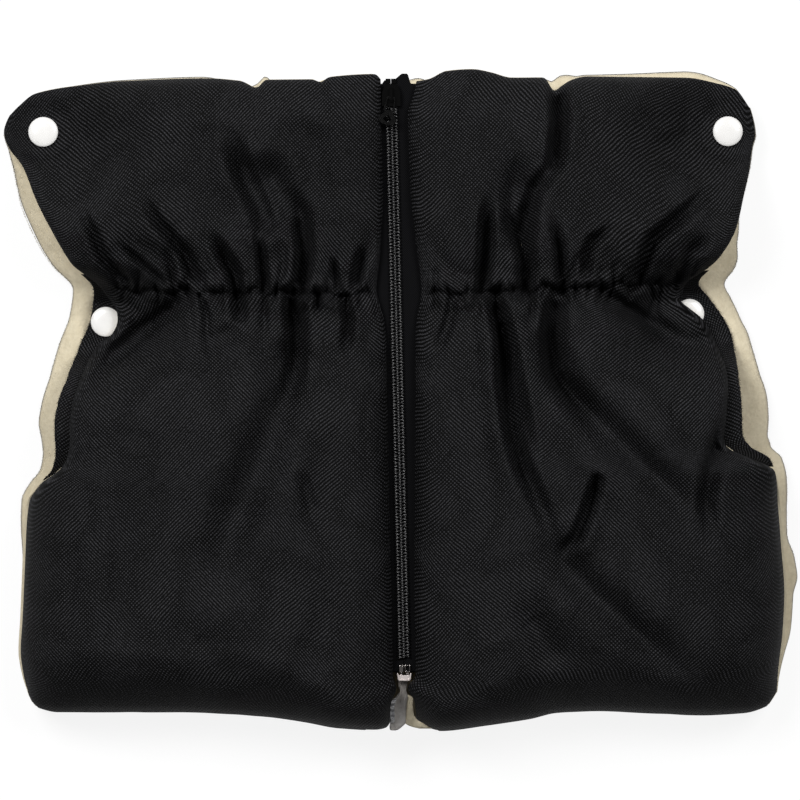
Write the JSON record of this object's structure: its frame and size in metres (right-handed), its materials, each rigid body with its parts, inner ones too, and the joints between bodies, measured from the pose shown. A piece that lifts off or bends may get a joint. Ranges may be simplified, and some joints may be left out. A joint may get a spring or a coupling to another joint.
{
  "type": "stroller hand muff",
  "caption": "Padded fleece-lined hand muff that snaps round a pushchair handlebar, with a gathered waist, side hand openings and a separable coil zip down the front.",
  "frame": {"origin": "centre of the back panel's footprint, on the flat face that it lies on", "axes": "+X towards the right of the picture, +Y towards the upper edge, +Z out of the zipped front"},
  "size_m": [0.3979, 0.33, 0.0767],
  "materials": {
    "black_oxford": "black woven polyester oxford with a light sheen",
    "cream_fleece": "cream short-pile fleece",
    "wadding": "white polyester wadding",
    "elastic": "flat white woven elastic",
    "zip_tape": "black woven zip tape",
    "zip_coil": "black nylon coil",
    "black_painted_metal": "glossy black paint on zinc alloy",
    "pearl_cap": "pearl white moulded cap",
    "bright_metal": "bright nickel-plated metal"
  },
  "bodies": {
    "back": {"back_shell": "black_oxford", "back_padding": "wadding", "back_lining": "cream_fleece", "back_elastic": "elastic", "snap_stud_upper_left": "bright_metal", "snap_stud_upper_right": "bright_metal", "snap_stud_lower_left": "bright_metal", "snap_stud_lower_right": "bright_metal", "snap_post_upper_left": "bright_metal", "snap_post_upper_right": "bright_metal", "snap_post_lower_left": "bright_metal", "snap_post_lower_right": "bright_metal"},
    "front_left": {"front_shell_left": "black_oxford", "front_padding_left": "wadding", "front_lining_left": "cream_fleece", "front_elastic_left": "elastic", "opening_facing_left": "black_oxford", "snap_cap_upper_left": "pearl_cap", "snap_cap_lower_left": "pearl_cap", "snap_socket_upper_left": "bright_metal", "snap_socket_lower_left": "bright_metal", "zip_tape_left": "zip_tape", "zip_coil_left": "zip_coil", "zip_top_stop_left": "black_painted_metal", "zip_retainer_pin": "bright_metal", "zip_retainer_box": "bright_metal"},
    "front_right": {"front_shell_right": "black_oxford", "front_padding_right": "wadding", "front_lining_right": "cream_fleece", "front_elastic_right": "elastic", "opening_facing_right": "black_oxford", "snap_cap_upper_right": "pearl_cap", "snap_cap_lower_right": "pearl_cap", "snap_socket_upper_right": "bright_metal", "snap_socket_lower_right": "bright_metal", "zip_tape_right": "zip_tape", "zip_coil_right": "zip_coil", "zip_top_stop_right": "black_painted_metal", "zip_insertion_pin": "bright_metal"},
    "slider": {"zip_slider": "black_painted_metal", "slider_bail": "black_painted_metal"},
    "pull": {"slider_pull": "black_painted_metal"}
  },
  "joints": [
    {"name": "front_left_fold", "type": "hinge", "parent": "back", "child": "front_left", "pos_m": [0, -0.16575, 0.01215], "axis": [1, 0, 0], "range_deg": [0, 110]},
    {"name": "front_right_fold", "type": "hinge", "parent": "back", "child": "front_right", "pos_m": [0, -0.16575, 0.01215], "axis": [1, 0, 0], "range_deg": [0, 110]},
    {"name": "zip_slide", "type": "slide", "parent": "front_left", "child": "slider", "axis": [0.0226, -0.9997, 0], "range_m": [0, 0.276], "deforming": ["zip_coil_left", "zip_coil_right"]},
    {"name": "pull_swing", "type": "hinge", "parent": "slider", "child": "pull", "pos_m": [-0.00464, 0.15125, 0.0505], "axis": [-1, 0, 0], "range_deg": [0, 160]}
  ],
  "couplings": [
    {"joint": "front_right_fold", "follows": "front_left_fold", "ratio": 1}
  ]
}
